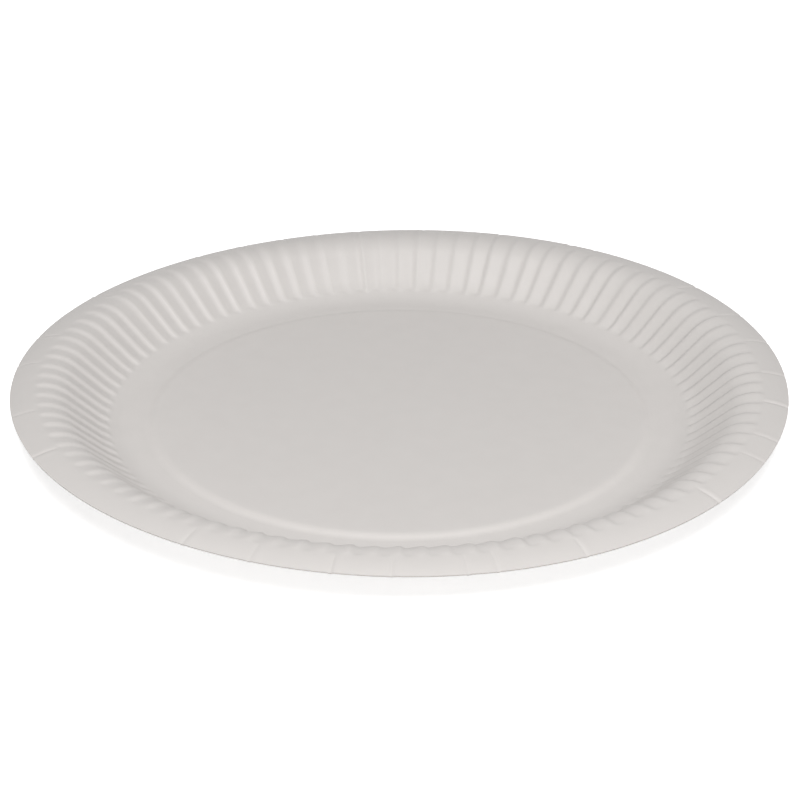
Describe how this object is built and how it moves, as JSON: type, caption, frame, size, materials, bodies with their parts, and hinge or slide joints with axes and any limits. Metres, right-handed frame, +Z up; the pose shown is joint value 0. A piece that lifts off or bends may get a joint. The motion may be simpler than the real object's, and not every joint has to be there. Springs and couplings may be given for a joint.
{
  "type": "paper plate",
  "caption": "Round pressed paperboard plate with a raised flat middle, a foot ring, a fluted sloping wall and a smooth, slightly drooping lip.",
  "frame": {"origin": "on the plate's axis, at the height of the table that the foot ring stands on", "axes": "+Z up along the plate's axis, out of its hollow; X and Y in the table plane"},
  "size_m": [0.23, 0.23, 0.0144],
  "materials": {
    "paperboard": "uncoated pressed paperboard, matte, warm white"
  },
  "bodies": {
    "root": {"plate": "paperboard"}
  },
  "joints": []
}
